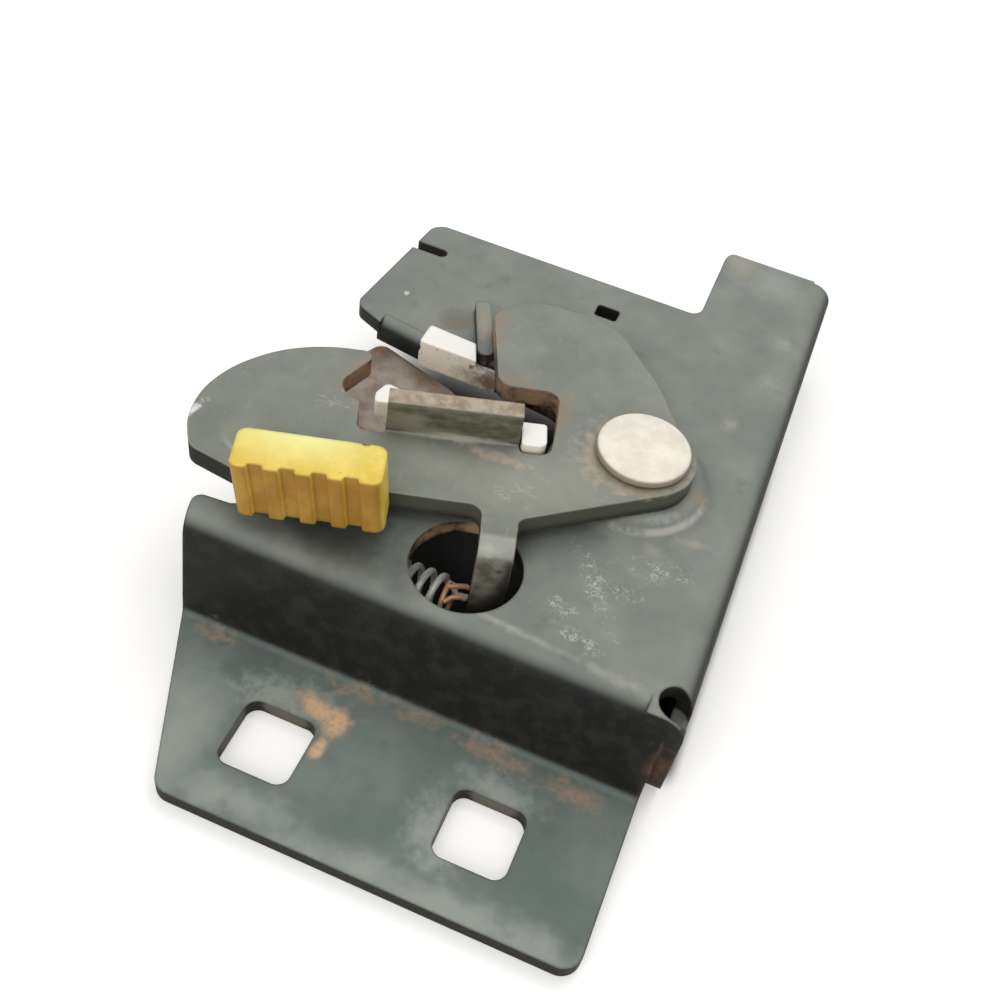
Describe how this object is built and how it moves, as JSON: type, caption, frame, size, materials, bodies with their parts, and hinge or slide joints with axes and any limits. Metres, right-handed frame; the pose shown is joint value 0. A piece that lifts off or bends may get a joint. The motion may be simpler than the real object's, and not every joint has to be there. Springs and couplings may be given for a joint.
{
  "type": "bonnet latch",
  "caption": "Bonnet latch: a pressed pan with a sprung primary catch behind it and a safety lever with a finger grip in front, turning on a shared rivet.",
  "frame": {"origin": "midpoint between the two square holes, on the underside of the fixing flange", "axes": "+X along the long fold towards the side wall, +Y across the plate towards the cable tab, +Z out of the plate's front face"},
  "size_m": [0.0858, 0.1395, 0.0345],
  "materials": {
    "dark_paint": "satin, worn, with rust at its edges",
    "lever_paint": "satin, worn, with rust at its edges",
    "yellow_moulding": "satin, slightly soiled",
    "white_moulding": "satin, soiled",
    "zinc": "dull plated",
    "bare_steel": "dull, browned",
    "spring_steel": "bright drawn wire"
  },
  "bodies": {
    "pan": {"base_plate": "dark_paint", "jaw_block": "white_moulding", "pivot_rivet": "zinc", "spacer_ring": "zinc", "spring_spool": "white_moulding", "back_washer": "zinc", "catch_spring": "spring_steel", "safety_spring": "spring_steel"},
    "safety_catch": {"safety_lever": "lever_paint", "finger_grip": "yellow_moulding", "guide_pad": "white_moulding"},
    "primary_catch": {"catch_lever": "bare_steel"}
  },
  "joints": [
    {"name": "safety_pivot", "type": "hinge", "parent": "pan", "child": "safety_catch", "pos_m": [0.0176, 0.0575, 0.0206], "axis": [0, 0, 1], "range_deg": [-11, 3], "deforming": ["safety_spring"]},
    {"name": "catch_pivot", "type": "hinge", "parent": "pan", "child": "primary_catch", "pos_m": [0.0176, 0.0575, 0.0206], "axis": [0, 0, 1], "range_deg": [0, 18], "stiffness_Nm_per_rad": 0.4, "springref_deg": -45.84, "deforming": ["catch_spring"]}
  ]
}
